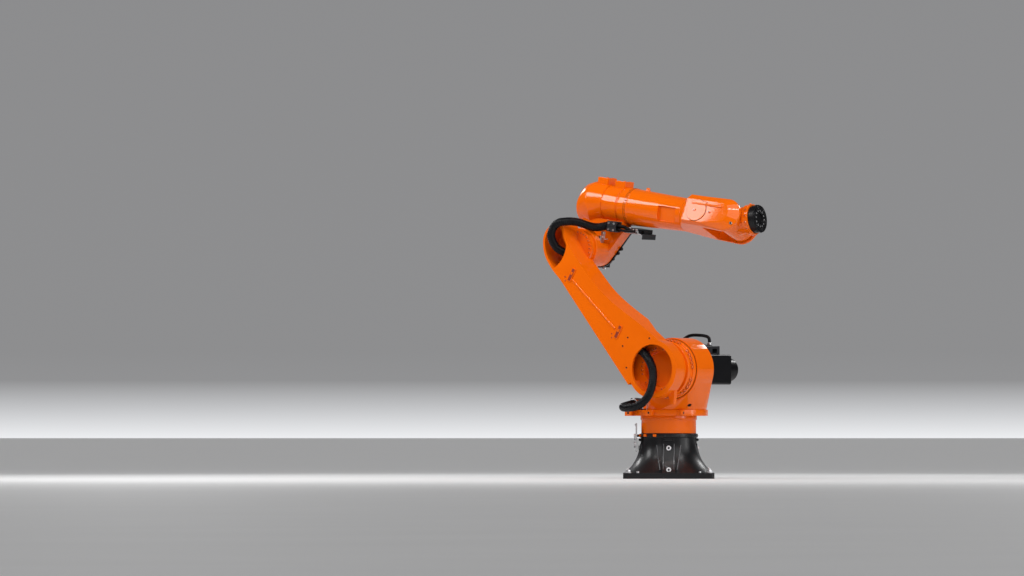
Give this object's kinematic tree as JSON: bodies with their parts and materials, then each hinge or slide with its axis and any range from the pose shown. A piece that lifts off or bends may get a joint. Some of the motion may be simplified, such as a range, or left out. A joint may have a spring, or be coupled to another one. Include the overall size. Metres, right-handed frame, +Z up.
{
  "type": "industrial robot arm",
  "caption": "Articulated robot arm on a cast pedestal: slewing column, leaning link arm, forearm with rolling wrist and tool flange.",
  "frame": {"origin": "centre of the foot plate's underside, on the slewing axis", "axes": "+Z up along the slewing axis, +X and +Y along the edges of the square foot plate; the arm is turned 35 degrees from +X towards -Y"},
  "size_m": [1.2304, 0.8806, 1.6683],
  "materials": {
    "orange_paint": "satin gloss paint",
    "black_casting": "gloss black paint on a casting",
    "black_motor": "satin black paint",
    "bare_steel": "bright zinc plate",
    "dark_steel": "dark grey paint",
    "hose_rubber": "corrugated black rubber"
  },
  "bodies": {
    "base": {"foot_plate": "black_casting", "pedestal": "black_casting", "bearing_ring": "black_casting", "rib_bosses": "bare_steel", "slew_stops": "orange_paint", "panel_bracket": "black_casting", "rear_panel": "bare_steel"},
    "column": {"slew_drum": "orange_paint", "carrier_plate": "orange_paint", "column_housing": "orange_paint", "shoulder_gear": "orange_paint", "motor_adaptor": "orange_paint", "shoulder_motor": "black_motor", "shoulder_motor_cap": "black_motor", "motor_terminals": "dark_steel", "slew_gearbox": "orange_paint", "slew_motor": "black_motor", "slew_motor_cap": "black_motor", "cable_plugs": "bare_steel", "motor_cable": "hose_rubber", "hose_bracket": "dark_steel"},
    "link_arm": {"shoulder_flange": "orange_paint", "link_arm": "orange_paint", "arm_clips": "orange_paint", "arm_hose": "hose_rubber", "lower_hose": "hose_rubber", "upper_hose": "hose_rubber"},
    "elbow": {"elbow_gear": "orange_paint", "elbow_housing": "orange_paint", "rear_housing": "orange_paint", "motor_plate": "black_motor", "elbow_motor": "black_motor", "elbow_motor_cap": "black_motor", "elbow_plugs": "bare_steel", "hose_clamp": "dark_steel", "side_bracket": "bare_steel", "front_bracket": "bare_steel", "connector_block": "black_motor", "socket_plate": "bare_steel", "elbow_cables": "hose_rubber"},
    "forearm": {"forearm_tube": "orange_paint", "wrist_fork": "orange_paint", "wrist_cover": "orange_paint"},
    "hand": {"hand": "orange_paint"},
    "tool": {"tool_flange": "black_motor"}
  },
  "joints": [
    {"name": "slew", "type": "hinge", "parent": "base", "child": "column", "pos_m": [0, 0, 0.247], "axis": [0, 0, 1], "range_deg": [-150, 220]},
    {"name": "shoulder", "type": "hinge", "parent": "column", "child": "link_arm", "pos_m": [0.10649, -0.07457, 0.6], "axis": [0.5736, 0.8192, 0], "range_deg": [-9, 126], "deforming": ["lower_hose"]},
    {"name": "elbow", "type": "hinge", "parent": "link_arm", "child": "elbow", "pos_m": [-0.37181, 0.26034, 1.27169], "axis": [-0.5736, -0.8192, 0], "range_deg": [-29, 259], "deforming": ["upper_hose"]},
    {"name": "roll", "type": "hinge", "parent": "elbow", "child": "forearm", "pos_m": [-0.19267, 0.13491, 1.49846], "axis": [0.8112, -0.568, -0.1392], "range_deg": [-350, 350]},
    {"name": "bend", "type": "hinge", "parent": "forearm", "child": "hand", "pos_m": [0.36299, -0.25417, 1.40313], "axis": [0.5, 0.7971, -0.3387], "range_deg": [-103, 133]},
    {"name": "tool_turn", "type": "hinge", "parent": "hand", "child": "tool", "pos_m": [0.49919, -0.33247, 1.41994], "axis": [0.862, -0.4955, 0.1064], "range_deg": [-350, 350]}
  ]
}
